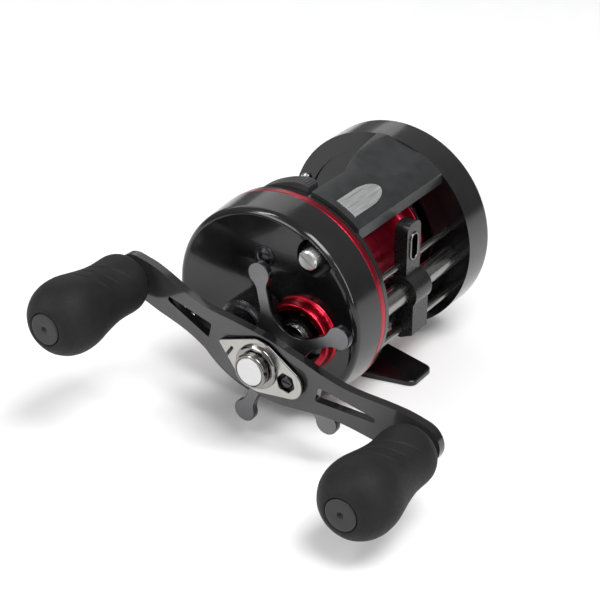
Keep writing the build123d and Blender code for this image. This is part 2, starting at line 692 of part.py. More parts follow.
# ---- spool, its shaft, bearings and brake ----
SPOOL_R = 17.0
ARBOR_R = 12.8
ARBOR_FILLET = 3.4
FLANGE_NEAR = (-21.0, -19.5)
FLANGE_FAR = (19.9, 21.4)
SPOOL_BORE_R = 2.0
SPOOL_HUB_R = 3.6
SPOOL_WALL = 1.4
HUB_SPAN = (-22.4, 22.9)
PALM_JOURNAL_R = 1.5
PALM_BEARING = (27.3, 29.8, 3.5)
ROTOR_R = 10.5
with BuildPart() as spool:
    with BuildSketch(lengthwise()):
        with BuildLine():
            corner = ARBOR_R + ARBOR_FILLET
            shift = ARBOR_FILLET * sin(radians(45))
            inner = ARBOR_R - SPOOL_WALL
            left = FLANGE_NEAR[1] + ARBOR_FILLET
            right = FLANGE_FAR[0] - ARBOR_FILLET
            ThreePointArc((FLANGE_NEAR[1], corner), (left - shift, corner - shift), (left, ARBOR_R))
            Line((left, ARBOR_R), (right, ARBOR_R))
            ThreePointArc((right, ARBOR_R), (right + shift, corner - shift), (FLANGE_FAR[0], corner))
            Polyline(
                (FLANGE_FAR[0], corner), (FLANGE_FAR[0], SPOOL_R - 0.3), (FLANGE_FAR[0] + 0.3, SPOOL_R),
                (FLANGE_FAR[1] - 0.3, SPOOL_R), (FLANGE_FAR[1], SPOOL_R - 0.3), (FLANGE_FAR[1], inner),
                (SPOOL_WALL, inner), (SPOOL_WALL, SPOOL_HUB_R), (HUB_SPAN[1], SPOOL_HUB_R),
                (HUB_SPAN[1], SPOOL_BORE_R), (HUB_SPAN[0], SPOOL_BORE_R), (HUB_SPAN[0], SPOOL_HUB_R),
                (-SPOOL_WALL, SPOOL_HUB_R), (-SPOOL_WALL, inner), (FLANGE_NEAR[0], inner),
                (FLANGE_NEAR[0], SPOOL_R - 0.3), (FLANGE_NEAR[0] + 0.3, SPOOL_R),
                (FLANGE_NEAR[1] - 0.3, SPOOL_R), (FLANGE_NEAR[1], SPOOL_R - 0.3), (FLANGE_NEAR[1], corner),
            )
        make_face()
    revolve(axis=axis_at())
save(spool, "spool")

with BuildPart() as spool_shaft:
    spin([
        (-48.2, 0), (-48.2, SPOOL_TIP_R - 0.3), (-47.9, SPOOL_TIP_R), (-26.0, SPOOL_TIP_R),
        (-26.0, SPOOL_BORE_R), (25.6, SPOOL_BORE_R), (25.6, PALM_JOURNAL_R), (30.8, PALM_JOURNAL_R),
        (31.1, PALM_JOURNAL_R - 0.3), (31.1, 0),
    ])
    with BuildSketch(Plane.XY.offset(AXIS_Z - 2.3)):
        with Locations((PIN_X, 0)):
            Circle(PIN_R)
    extrude(amount=4.6)
save(spool_shaft, "spool_shaft")

with BuildPart() as spool_bearings:
    spin(bearing_section(*HANDLE_BEARING, SPOOL_TIP_R + 0.05))
    spin(bearing_section(*PALM_BEARING, PALM_JOURNAL_R + 0.05))
save(spool_bearings, "spool_bearings")

save(
    lathe([
        (FLANGE_FAR[1], SPOOL_HUB_R), (FLANGE_FAR[1], ROTOR_R), (25.4, ROTOR_R), (25.4, ROTOR_R - 0.8),
        (22.2, ROTOR_R - 0.8), (22.2, SPOOL_HUB_R),
    ]),
    "brake_rotor",
)

# ---- palm side plate with the brake parts it carries ----
PALM_R_IN = 29.9
PALM_INNER_FACE = PALM_FACE - WALL
PALM_BOSS_R = 5.0
PALM_BOSS_START = 27.0
SCREW_BOSS_R = 1.9
SCREW_DEPTH = 30.0
PALM_CAP_R = 6.0
DOME_R = 835.0


def dome(radius):
    """Station of the palm plate's slightly domed face at a radius."""
    return PALM_FACE - radius**2 / (2 * DOME_R)


with BuildPart() as palm_side_plate:
    with BuildSketch(lengthwise()):
        with BuildLine():
            Polyline(
                (dome(PALM_CAP_R), PALM_CAP_R), (PALM_FACE + 0.5, PALM_CAP_R - 0.3),
                (PALM_FACE + 0.5, 0), (PALM_INNER_FACE, 0), (PALM_INNER_FACE, 27.0), (34.0, PALM_R_IN),
                (PALM_RING_OUT, PALM_R_IN), (PALM_RING_OUT, PALM_R), (34.2, PALM_R + 0.1),
            )
            ThreePointArc((34.2, PALM_R + 0.1), (35.95, 31.05), (dome(28.9), 28.9))
            ThreePointArc((dome(28.9), 28.9), (dome(17.5), 17.5), (dome(PALM_CAP_R), PALM_CAP_R))
        make_face()
    revolve(axis=axis_at())
    disc(PALM_BOSS_START, PALM_INNER_FACE, PALM_BOSS_R)
    for place in PALM_SCREW_PLACES:
        disc(PALM_RING_OUT, 34.0, SCREW_BOSS_R, place)
        disc(PALM_RING_OUT, SCREW_DEPTH, PALM_SCREW_R, place, Mode.SUBTRACT)
    disc(PALM_BOSS_START, 31.6, PALM_JOURNAL_R + 0.4, mode=Mode.SUBTRACT)
    disc(PALM_BOSS_START, PALM_BEARING[1], PALM_BEARING[2], mode=Mode.SUBTRACT)
save(palm_side_plate, "palm_side_plate")

with BuildPart() as palm_plate_screws:
    for place in PALM_SCREW_PLACES:
        spin(
            [
                (22.1, 0), (22.1, 1.2), (22.6, 1.7), (PALM_RING_IN, 1.8), (PALM_RING_IN, PALM_SCREW_R),
                (SCREW_DEPTH, PALM_SCREW_R), (SCREW_DEPTH, 0),
            ],
            place,
        )
        with BuildSketch(across(22.1, place, 20)):
            Rectangle(2.0, 0.45)
            Rectangle(0.45, 2.0)
        extrude(amount=0.6, mode=Mode.SUBTRACT)
save(palm_plate_screws, "palm_plate_screws")

MAGNET_SPAN = (26.1, 27.3)
save(turned([(MAGNET_SPAN[1], 28.5)], 12.5, PALM_BOSS_R), "magnet_plate")
MAGNET_PLACES = [clock(45.0 * step, 10.1) for step in range(8)]
save(turned([MAGNET_SPAN], 1.7, places=MAGNET_PLACES), "brake_magnets")

# ---- level wind: rods, slotted tube, crossed worm, carriage ----
TUBE_R_IN = 2.5
WORM_R = 2.25
WORM_JOURNAL_R = 1.5
PAWL_R = 1.4
GUIDE_X = -0.6
GUIDE_MIN_X = -16.8
GUIDE_MAX_X = 17.2
save(turned([(HANDLE_RING_OUT, PALM_WEB_OUT)], UPPER_ROD_R, places=[UPPER_ROD]), "guide_rod_upper")
save(turned([(HANDLE_RING_OUT, PALM_RING_OUT)], LOWER_ROD_R, places=[LOWER_ROD]), "guide_rod_lower")
save(
    turned([(HANDLE_RING_OUT, HANDLE_RING_IN), (WEB_IN, PALM_WEB_OUT)], BUSHING_R, WORM_JOURNAL_R + 0.05, [WORM]),
    "worm_bushings",
)

with BuildPart() as level_wind_tube:
    with BuildSketch(across(HANDLE_RING_IN, WORM)):
        Circle(TUBE_R)
        Circle(TUBE_R_IN, mode=Mode.SUBTRACT)
    extrude(amount=WEB_IN - HANDLE_RING_IN)
    slot_length = GUIDE_MAX_X - GUIDE_MIN_X + 2 * PAWL_R + 0.8
    with BuildSketch(Plane.XZ.offset(-WORM[0])):
        with Locations(((GUIDE_MIN_X + GUIDE_MAX_X) / 2, AXIS_Z + WORM[1])):
            SlotOverall(slot_length, 2 * PAWL_R + 0.4)
    extrude(amount=-2 * TUBE_R, mode=Mode.SUBTRACT)
save(level_wind_tube, "level_wind_tube")

WORM_SPAN = (-22.8, 23.9)
GROOVE_LEAD = 8.7
with BuildPart() as worm_shaft:
    disc(WIND_GEAR_SPAN[0], PALM_WEB_OUT, WORM_JOURNAL_R, WORM)
    disc(*WORM_SPAN, WORM_R, WORM)
    for left_hand in (False, True):
        with BuildLine() as track:
            Helix(
                pitch=GROOVE_LEAD,
                height=4 * GROOVE_LEAD,
                radius=WORM_R,
                center=((GUIDE_MIN_X + GUIDE_MAX_X) / 2 - 2 * GROOVE_LEAD, WORM[0], AXIS_Z + WORM[1]),
                direction=(1, 0, 0),
                lefthand=left_hand,
            )
        with BuildSketch(Plane(origin=track.line @ 0, z_dir=track.line % 0)):
            Circle(0.55)
        sweep(path=track.line, is_frenet=True, mode=Mode.SUBTRACT)
save(worm_shaft, "worm_shaft")

with BuildPart() as worm_gear:
    with BuildSketch(across(WIND_GEAR_SPAN[0], WORM)):
        gear_face(MODULE_WIND, WORM_GEAR_TEETH, WIND_ANGLE + 180 + 180 / WORM_GEAR_TEETH)
        Circle(WORM_JOURNAL_R, mode=Mode.SUBTRACT)
    extrude(amount=WIND_GEAR_SPAN[1] - WIND_GEAR_SPAN[0])
save(worm_gear, "worm_gear")

GUIDE_HUB_R = 5.25
GUIDE_HUB_WIDTH = 9.0
POST_WIDTH = 7.6
POST_SPAN = (-26.0, -21.7)
POST_TOP = 19.2
POST_FOOT = -2.0
POST_ROUND = 2.6
LEG_WIDTH = 8.6
EYE_Z = 11.6
EYE_OUTER = (9.0, 4.8)
EYE_INNER = (7.6, 3.2)
EYE_FRONT = -26.4
EYE_REAR = -21.3
BOSS_R = 2.6
BOSS_END = -18.9
CAP_R = 1.9
CAP_START = -20.4


def upright(y, z):
    """Plane square to Y at the carriage centre, local x along -X, local y along +Z."""
    return Plane(origin=(GUIDE_X, y, AXIS_Z + z), x_dir=(-1, 0, 0), z_dir=(0, 1, 0))


with BuildPart() as line_guide:
    disc(GUIDE_X - GUIDE_HUB_WIDTH / 2, GUIDE_X + GUIDE_HUB_WIDTH / 2, GUIDE_HUB_R, WORM)
    with BuildSketch(upright(POST_SPAN[0], (POST_TOP + POST_FOOT) / 2)) as post_front:
        Rectangle(POST_WIDTH, POST_TOP - POST_FOOT)
        fillet(post_front.vertices().group_by(Axis.Y)[-1], POST_ROUND)
    extrude(amount=POST_SPAN[1] - POST_SPAN[0])
    with BuildSketch(across(GUIDE_X - LEG_WIDTH / 2)):
        with BuildLine():
            Polyline((-28.9, -3.5), (-28.9, -14.3), (-23.0, -14.3), (-23.0, -3.5), close=True)
        make_face()
        with Locations(LOWER_ROD):
            Circle(2.7)
        with BuildLine():
            Polyline((-28.9, -14.0), (-28.9, -15.3), (-25.0, -17.0), (-24.5, -14.0), close=True)
        make_face()
    extrude(amount=LEG_WIDTH)
    with BuildSketch(upright(WORM[0], WORM_Z)):
        Circle(BOSS_R)
    extrude(amount=BOSS_END - WORM[0])
    with BuildSketch(upright(EYE_FRONT, EYE_Z)):
        SlotOverall(*EYE_OUTER, rotation=90)
    extrude(amount=EYE_REAR - EYE_FRONT, mode=Mode.SUBTRACT)
    with BuildSketch(upright(WORM[0], WORM_Z)):
        Circle(PAWL_R)
    extrude(amount=BOSS_END - WORM[0], mode=Mode.SUBTRACT)
    with BuildSketch(upright(CAP_START, WORM_Z)):
        Circle(CAP_R)
    extrude(amount=BOSS_END - CAP_START, mode=Mode.SUBTRACT)
    reach = GUIDE_HUB_WIDTH
    disc(GUIDE_X - reach, GUIDE_X + reach, TUBE_R + 0.07, WORM, Mode.SUBTRACT)
    disc(GUIDE_X - reach, GUIDE_X + reach, UPPER_ROD_R + 0.07, UPPER_ROD, Mode.SUBTRACT)
    disc(GUIDE_X - reach, GUIDE_X + reach, LOWER_ROD_R + 0.08, LOWER_ROD, Mode.SUBTRACT)
save(line_guide, "line_guide")

with BuildPart() as guide_eye:
    with BuildSketch(upright(EYE_FRONT, EYE_Z)):
        SlotOverall(*EYE_OUTER, rotation=90)
        SlotOverall(*EYE_INNER, rotation=90, mode=Mode.SUBTRACT)
    extrude(amount=EYE_REAR - EYE_FRONT)
save(guide_eye, "guide_eye")

PAWL_TIP = WORM[0] + WORM_R + 0.12
with BuildPart() as guide_pawl:
    with BuildSketch(upright(PAWL_TIP, WORM_Z)):
        Circle(PAWL_R)
    extrude(amount=CAP_START - PAWL_TIP)
save(guide_pawl, "guide_pawl")

with BuildPart() as pawl_cap:
    with BuildSketch(upright(CAP_START, WORM_Z)):
        Circle(CAP_R)
    extrude(amount=BOSS_END + 0.3 - CAP_START)
    with BuildSketch(upright(BOSS_END - 0.3, WORM_Z)):
        Rectangle(2 * CAP_R, 0.5)
    extrude(amount=0.6, mode=Mode.SUBTRACT)
save(pawl_cap, "pawl_cap")

# ---- cast control knob over the spool axis ----
TENSION_R = 7.7
TENSION_FRONT = -50.5
TENSION_BACK = -39.2
with BuildPart() as tension_knob:
    with BuildSketch(across(TENSION_FRONT)):
        knurl(TENSION_R, 0.3, 60)
    extrude(amount=TENSION_BACK - TENSION_FRONT)
    spin(
        [
            (TENSION_FRONT, 0), (TENSION_FRONT, 6.3), (TENSION_FRONT + 0.3, 6.6), (TENSION_FRONT + 1.0, 6.9),
            (TENSION_FRONT + 1.8, TENSION_R), (TENSION_BACK - 0.7, TENSION_R), (TENSION_BACK, TENSION_R - 0.7),
            (TENSION_BACK, 0),
        ],
        mode=Mode.INTERSECT,
    )
    disc(TENSION_FRONT + 1.9, TENSION_BACK, KNOB_BOSS_R + 0.08, mode=Mode.SUBTRACT)
    with BuildSketch(across(TENSION_FRONT)):
        Circle(5.6)
        Circle(4.9, mode=Mode.SUBTRACT)
    extrude(amount=0.3, mode=Mode.SUBTRACT)
save(tension_knob, "tension_knob")

# ---- star drag ----
STAR_HUB_R = 5.2
STAR_HUB_OUT = -51.4
STAR_HUB_IN = -44.8
STAR_PLATE_OUT = -53.4
STAR_R = 14.8
STAR_TIP_R = 3.4
STAR_TIP_AT = 23.8
STAR_ARM_WIDTH = 3.4
STAR_NECK_R = 4.0
STAR_FIRST = 79.0
SCALLOP_R = 9.1
SCALLOP_AT = 18.3
with BuildPart() as star_drag:
    with BuildSketch(across(STAR_PLATE_OUT, MAIN)) as star_outline:
        Circle(STAR_R)
        with PolarLocations(SCALLOP_AT, 5, start_angle=STAR_FIRST + 36):
            Circle(SCALLOP_R, mode=Mode.SUBTRACT)
        with PolarLocations(STAR_TIP_AT / 2, 5, start_angle=STAR_FIRST):
            Rectangle(STAR_TIP_AT, STAR_ARM_WIDTH)
        with PolarLocations(STAR_TIP_AT, 5, start_angle=STAR_FIRST):
            Circle(STAR_TIP_R)
        neck_at = STAR_TIP_AT - sqrt(STAR_TIP_R**2 - (STAR_ARM_WIDTH / 2)**2)
        necks = star_outline.vertices().filter_by(lambda vertex: abs(sqrt(vertex.X**2 + vertex.Y**2) - neck_at) < 0.5)
        fillet(necks, STAR_NECK_R)
    extrude(amount=STAR_HUB_OUT - STAR_PLATE_OUT)
    with BuildSketch(across(STAR_HUB_OUT, MAIN)):
        knurl(STAR_HUB_R, 0.22, 36)
    extrude(amount=STAR_HUB_IN - STAR_HUB_OUT)
    disc(STAR_PLATE_OUT, STAR_HUB_IN, SHAFT_R + 0.08, MAIN, Mode.SUBTRACT)
save(star_drag, "star_drag")

# ---- handle ----
ARM_BACK = ARM_THICKNESS - ARM_FRONT
KNOB_R_END = 6.3
RETAINER_FRONT = -61.0
RETAINER_BACK = -59.4
RETAINER_SCREW_AT = -9.5
BEND_INNER = 8.0
BEND_OUTER = 43.0
BEND_R = 25.0
SLOT_START = 18.6
SLOT_HALF = 1.7
SLOT_CORNER_R = 0.6
SLOT_TIP = 34.2
SLOT_TIP_R = 0.8
ARM_HALF_WIDTHS = ((0.0, 9.2), (9.0, 8.6), (18.0, 6.6), (26.5, 5.6), (37.0, 6.2))
knob_offset = (KNOB_REACH * cos(radians(ARM_TILT)), KNOB_REACH * sin(radians(ARM_TILT)))
KNOB_PLACES = {
    "front": (MAIN[0] - knob_offset[0], MAIN[1] - knob_offset[1]),
    "rear": (MAIN[0] + knob_offset[0], MAIN[1] + knob_offset[1]),
}
save(turned([(STAR_PLATE_OUT - 4.0, STAR_PLATE_OUT - 0.3)], 4.5, SHAFT_R, [MAIN]), "handle_spacer")


def retainer_outline(grow):
    """Pear-shaped outline of the nut retainer."""
    with Locations((0, 0)):
        Circle(8.2 + grow)
    with Locations((-10.2, 0)):
        Circle(4.6 + grow)
    with Locations((12.4, 1.0)):
        Circle(0.8 + grow)
    make_hull()


def arm_edge(sign):
    """One long edge of the arm between the knob axes, waisted on both sides of the middle."""
    right = [(s, sign * half) for s, half in ARM_HALF_WIDTHS]
    left = [(-s, sign * half) for s, half in reversed(ARM_HALF_WIDTHS[1:])]
    ends = ((-KNOB_REACH, sign * KNOB_R_END), (KNOB_REACH, sign * KNOB_R_END))
    return Spline(ends[0], *left, *right, ends[1], tangents=((1, 0), (1, 0)))


with BuildPart() as handle_arm:
    with BuildSketch(across(-ARM_FRONT, MAIN, ARM_TILT)):
        with BuildLine():
            upper_edge = arm_edge(1)
            lower_edge = arm_edge(-1)
            tip = KNOB_REACH + KNOB_R_END
            ThreePointArc(upper_edge @ 1, (tip, 0), lower_edge @ 1)
            ThreePointArc(upper_edge @ 0, (-tip, 0), lower_edge @ 0)
        make_face()
    extrude(amount=ARM_FRONT - ARM_END_FRONT + ARM_THICKNESS)
    tilt = radians(ARM_TILT)
    with BuildSketch(
        Plane(
            origin=(0, MAIN[0] + 12 * sin(tilt), AXIS_Z + MAIN[1] - 12 * cos(tilt)),
            x_dir=(0, cos(tilt), sin(tilt)),
            z_dir=(0, -sin(tilt), cos(tilt)),
        )
    ) as side_view:
        with BuildLine():
            end = tip + 1
            back = ARM_FRONT - ARM_THICKNESS
            end_back = ARM_END_FRONT - ARM_THICKNESS
            Polyline(
                (-end, ARM_END_FRONT), (-BEND_OUTER, ARM_END_FRONT), (-BEND_INNER, ARM_FRONT),
                (BEND_INNER, ARM_FRONT), (BEND_OUTER, ARM_END_FRONT), (end, ARM_END_FRONT),
                (end, end_back), (BEND_OUTER, end_back), (BEND_INNER, back), (-BEND_INNER, back),
                (-BEND_OUTER, end_back), (-end, end_back), close=True,
            )
        make_face()
        fillet(side_view.vertices().filter_by(lambda vertex: abs(vertex.X) < tip - 1), BEND_R)
    extrude(amount=24, mode=Mode.INTERSECT)
    for sign in (1, -1):
        with BuildSketch(across(-ARM_FRONT, MAIN, ARM_TILT)):
            with Locations((sign * SLOT_START, SLOT_HALF), (sign * SLOT_START, -SLOT_HALF)):
                Circle(SLOT_CORNER_R)
            with Locations((sign * SLOT_TIP, 0)):
                Circle(SLOT_TIP_R)
            make_hull()
        extrude(amount=ARM_FRONT - ARM_END_FRONT + ARM_THICKNESS, mode=Mode.SUBTRACT)
    with BuildSketch(across(-ARM_FRONT, MAIN, ARM_TILT)):
        retainer_outline(0.5)
    extrude(amount=RETAINER_BACK + ARM_FRONT, mode=Mode.SUBTRACT)
    with BuildSketch(across(-ARM_FRONT, MAIN, ARM_TILT)):
        Circle(SHAFT_R)
        Rectangle(3 * SHAFT_R, SHAFT_FLATS, mode=Mode.INTERSECT)
    extrude(amount=ARM_THICKNESS, mode=Mode.SUBTRACT)
    with BuildSketch(across(-ARM_FRONT, MAIN, ARM_TILT)):
        with Locations((-KNOB_REACH, 0), (KNOB_REACH, 0)):
            Circle(JOURNAL_R)
        with Locations((RETAINER_SCREW_AT, 0)):
            Circle(1.0)
    extrude(amount=ARM_FRONT - ARM_END_FRONT + ARM_THICKNESS, mode=Mode.SUBTRACT)
save(handle_arm, "handle_arm")

with BuildPart() as nut_retainer:
    with BuildSketch(across(RETAINER_FRONT, MAIN, ARM_TILT)):
        retainer_outline(0)
        Circle(SHAFT_R + 0.1, mode=Mode.SUBTRACT)
        with Locations((RETAINER_SCREW_AT, 0)):
            RegularPolygon(2.9, 6, mode=Mode.SUBTRACT)
        with Locations((9.4, -0.6)):
            SlotOverall(4.2, 0.6, rotation=-70, mode=Mode.SUBTRACT)
    extrude(amount=RETAINER_BACK - RETAINER_FRONT)
save(nut_retainer, "nut_retainer")

SCREW_AT = (
    MAIN[0] + RETAINER_SCREW_AT * cos(radians(ARM_TILT)),
    MAIN[1] + RETAINER_SCREW_AT * sin(radians(ARM_TILT)),
)
with BuildPart() as retainer_screw:
    spin(
        [
            (-60.6, 0), (-60.6, 1.5), (-60.2, 1.9), (RETAINER_BACK, 1.9), (RETAINER_BACK, 1.0),
            (ARM_BACK, 1.0), (ARM_BACK, 0),
        ],
        SCREW_AT,
    )
    with BuildSketch(across(-60.6, SCREW_AT, 10)):
        Rectangle(2.4, 0.5)
    extrude(amount=0.5, mode=Mode.SUBTRACT)
save(retainer_screw, "retainer_screw")

save(
    lathe(
        [
            (RETAINER_FRONT, SHAFT_R), (RETAINER_FRONT, 6.6), (-61.7, 6.5), (-62.2, 5.9), (-62.2, 4.3),
            (-62.6, 4.3), (-62.6, 5.0), (-64.3, 5.0), (-64.7, 4.7), (-64.7, 4.4), (-64.3, 4.3),
            (-64.3, 4.1), (-64.7, 4.0), (-64.7, 0), (-62.3, 0),
            (-62.3, SHAFT_R),
        ],
        MAIN,
    ),
    "handle_nut",
)

SPINDLE_END = -90.6
with BuildPart() as knob_spindles:
    for place in KNOB_PLACES.values():
        spin(
            [
                (SPINDLE_END, 0), (SPINDLE_END, JOURNAL_R - 0.3), (SPINDLE_END + 0.3, JOURNAL_R),
                (-56.0, JOURNAL_R), (-56.0, 3.6), (-ARM_END_FRONT, 3.6), (-ARM_END_FRONT, JOURNAL_R),
                (ARM_THICKNESS - ARM_END_FRONT, JOURNAL_R), (ARM_THICKNESS - ARM_END_FRONT, 3.0),
                (ARM_THICKNESS - ARM_END_FRONT + 0.6, 2.7), (ARM_THICKNESS - ARM_END_FRONT + 1.0, 1.6),
                (ARM_THICKNESS - ARM_END_FRONT + 1.0, 0),
            ],
            place,
        )
save(knob_spindles, "knob_spindles")

KNOB_BEARING_R = 3.5
KNOB_BEARING_SPANS = ((-90.0, -87.5), (-59.5, -57.0))
KNOB_CURVE = (
    (-91.3, 7.1), (-89.6, 8.8), (-87.5, 10.0), (-85.0, 10.7), (-82.5, 10.9), (-80.0, 10.7), (-77.0, 10.1),
    (-74.0, 9.5), (-71.0, 9.0), (-68.0, 8.7), (-65.0, 8.7), (-62.0, 8.8), (-60.0, 8.6), (-58.2, 7.9), (-57.0, 6.8),
)
KNOB_INNER_END = -56.5
CAP_SEAT = -91.4
CAP_SEAT_R = 4.6
for side, place in KNOB_PLACES.items():
    with BuildPart() as knob_grip:
        with BuildSketch(lengthwise(place)):
            with BuildLine():
                Spline(*KNOB_CURVE)
                Polyline(
                    KNOB_CURVE[-1], (KNOB_INNER_END, 6.0), (KNOB_INNER_END, KNOB_BEARING_R),
                    (KNOB_BEARING_SPANS[1][0], KNOB_BEARING_R), (KNOB_BEARING_SPANS[1][0], 2.5),
                    (KNOB_BEARING_SPANS[0][1], 2.5), (KNOB_BEARING_SPANS[0][1], KNOB_BEARING_R),
                    (CAP_SEAT, KNOB_BEARING_R), (CAP_SEAT, CAP_SEAT_R), (KNOB_END, CAP_SEAT_R),
                    (KNOB_END, 5.4), (KNOB_END + 0.2, 5.8), KNOB_CURVE[0],
                )
            make_face()
        revolve(axis=axis_at(place))
    save(knob_grip, f"knob_grip_{side}")
    save(
        lathe(
            [
                (CAP_SEAT, 0), (CAP_SEAT, CAP_SEAT_R), (KNOB_END - 0.1, CAP_SEAT_R), (KNOB_END - 0.3, 4.3),
                (KNOB_END - 0.3, 0.9), (KNOB_END + 0.3, 0.9), (KNOB_END + 0.3, 0),
            ],
            place,
        ),
        f"knob_cap_{side}",
    )
    with BuildPart() as knob_bearings:
        for x0, x1 in KNOB_BEARING_SPANS:
            spin(bearing_section(x0, x1, KNOB_BEARING_R, JOURNAL_R + 0.08), place)
    save(knob_bearings, f"knob_bearings_{side}")
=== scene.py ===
import json
from math import cos, pi, radians, sin

import bmesh
import bpy
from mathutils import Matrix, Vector


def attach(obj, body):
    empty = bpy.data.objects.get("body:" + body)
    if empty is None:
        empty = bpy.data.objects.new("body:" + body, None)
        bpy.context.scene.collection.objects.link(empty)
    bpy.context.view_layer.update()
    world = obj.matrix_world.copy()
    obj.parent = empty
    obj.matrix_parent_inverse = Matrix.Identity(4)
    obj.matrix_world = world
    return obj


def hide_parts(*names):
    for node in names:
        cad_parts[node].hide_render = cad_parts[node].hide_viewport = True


# Looks for the round baitcasting reel. Metres, in the CAD frame: +X to the palm side, -Y forward, +Z up.

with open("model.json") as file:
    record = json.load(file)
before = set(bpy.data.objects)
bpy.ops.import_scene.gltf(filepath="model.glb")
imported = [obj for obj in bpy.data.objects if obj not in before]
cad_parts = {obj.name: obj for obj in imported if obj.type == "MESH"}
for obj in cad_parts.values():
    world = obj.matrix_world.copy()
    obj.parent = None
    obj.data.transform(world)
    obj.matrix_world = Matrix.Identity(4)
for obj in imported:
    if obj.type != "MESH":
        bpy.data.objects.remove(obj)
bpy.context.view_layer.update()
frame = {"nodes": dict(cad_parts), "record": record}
MM = 0.001
AXIS_Z = 32.0
SLOTS = {part["node"]: part["material_slot"] for part in frame["record"]["subparts"]}
BODY_OF = {
    node: body for body, nodes in frame["record"]["behaviour"]["bodies"].items() for node in nodes
}


# ---- shader helpers ----
class Nodes:
    """A short hand for building one procedural material."""

    def __init__(self, name, base, metallic=0.0, roughness=0.4, specular=0.5, coat=0.0, coat_roughness=0.05):
        self.material = bpy.data.materials.new(name)
        self.material.use_nodes = True
        self.tree = self.material.node_tree
        self.shader = self.tree.nodes["Principled BSDF"]
        self.shader.inputs["Base Color"].default_value = (*base, 1)
        self.shader.inputs["Metallic"].default_value = metallic
        self.shader.inputs["Roughness"].default_value = roughness
        self.shader.inputs["Specular IOR Level"].default_value = specular
        self.shader.inputs["Coat Weight"].default_value = coat
        self.shader.inputs["Coat Roughness"].default_value = coat_roughness
        self.coords = self.tree.nodes.new("ShaderNodeTexCoord").outputs["Object"]
        self.height = None

    def add(self, kind, **settings):
        node = self.tree.nodes.new(kind)
        for key, value in settings.items():
            setattr(node, key, value)
        return node

    def feed(self, socket, value):
        """Link an output to an input, or set a plain number."""
        if isinstance(value, (int, float)):
            socket.default_value = value
        else:
            self.tree.links.new(value, socket)

    def math(self, operation, first, second=0.0):
        node = self.add("ShaderNodeMath", operation=operation)
        self.feed(node.inputs[0], first)
        self.feed(node.inputs[1], second)
        return node.outputs[0]

    def noise(self, scale, detail=3.0, stretch=(1, 1, 1), vector=None, roughness=0.55):
        mapping = self.add("ShaderNodeMapping")
        mapping.inputs["Scale"].default_value = stretch
        self.tree.links.new(vector or self.coords, mapping.inputs["Vector"])
        texture = self.add("ShaderNodeTexNoise")
        texture.inputs["Scale"].default_value = scale
        texture.inputs["Detail"].default_value = detail
        texture.inputs["Roughness"].default_value = roughness
        self.tree.links.new(mapping.outputs[0], texture.inputs["Vector"])
        return texture.outputs["Fac"]

    def around(self, centre=(0.0, 0.0)):
        """Cylinder coordinates about an axis parallel to X: along, radius and angle outputs."""
        split = self.add("ShaderNodeSeparateXYZ")
        self.tree.links.new(self.coords, split.inputs[0])
        y = self.math("SUBTRACT", split.outputs["Y"], centre[0] * MM)
        z = self.math("SUBTRACT", split.outputs["Z"], (AXIS_Z + centre[1]) * MM)
        radius = self.math("SQRT", self.math("ADD", self.math("MULTIPLY", y, y), self.math("MULTIPLY", z, z)))
        return split.outputs["X"], radius, self.math("ARCTAN2", z, y)

    def turned(self, centre=(0.0, 0.0), scale=2600.0):
        """Lathe lines that run round an axis parallel to X."""
        along, radius, angle = self.around(centre)
        combine = self.add("ShaderNodeCombineXYZ")
        self.feed(combine.inputs[0], along)
        self.feed(combine.inputs[1], radius)
        self.feed(combine.inputs[2], self.math("MULTIPLY", angle, 0.00012))
        return self.noise(scale, detail=4.0, vector=combine.outputs[0])

    def below(self, value, limit, blend):
        """A mask that is 1 below a limit and fades to 0 over a blend width."""
        node = self.add("ShaderNodeMapRange")
        node.inputs["From Min"].default_value = limit
        node.inputs["From Max"].default_value = limit + blend
        node.inputs["To Min"].default_value = 1.0
        node.inputs["To Max"].default_value = 0.0
        self.feed(node.inputs["Value"], value)
        return node.outputs["Result"]

    def facing_handle(self):
        """The surface direction along X in the object's own frame: -1 on faces square to -X."""
        split = self.add("ShaderNodeSeparateXYZ")
        self.tree.links.new(self.add("ShaderNodeTexCoord").outputs["Normal"], split.inputs[0])
        return split.outputs["X"]

    def ramp(self, factor, low, high, start=0.3, end=0.7):
        node = self.add("ShaderNodeValToRGB")
        node.color_ramp.elements[0].position = start
        node.color_ramp.elements[1].position = end
        node.color_ramp.elements[0].color = (*low, 1)
        node.color_ramp.elements[1].color = (*high, 1)
        self.feed(node.inputs["Fac"], factor)
        return node.outputs["Color"]

    def spread(self, factor, low, high):
        """A number that varies between two limits with a texture."""
        node = self.add("ShaderNodeMapRange")
        node.inputs["From Min"].default_value = 0.3
        node.inputs["From Max"].default_value = 0.7
        node.inputs["To Min"].default_value = low
        node.inputs["To Max"].default_value = high
        self.feed(node.inputs["Value"], factor)
        return node.outputs["Result"]

    def tint(self, factor, low, high, start=0.3, end=0.7):
        self.feed(self.shader.inputs["Base Color"], self.ramp(factor, low, high, start, end))

    def rough(self, factor, low, high):
        self.feed(self.shader.inputs["Roughness"], self.spread(factor, low, high))

    def bump(self, factor, strength, distance):
        """Add a relief of a real depth in metres on top of those before it."""
        node = self.add("ShaderNodeBump")
        node.inputs["Strength"].default_value = strength
        node.inputs["Distance"].default_value = distance
        self.feed(node.inputs["Height"], factor)
        if self.height is not None:
            self.tree.links.new(self.height, node.inputs["Normal"])
        self.height = node.outputs["Normal"]
        self.tree.links.new(self.height, self.shader.inputs["Normal"])


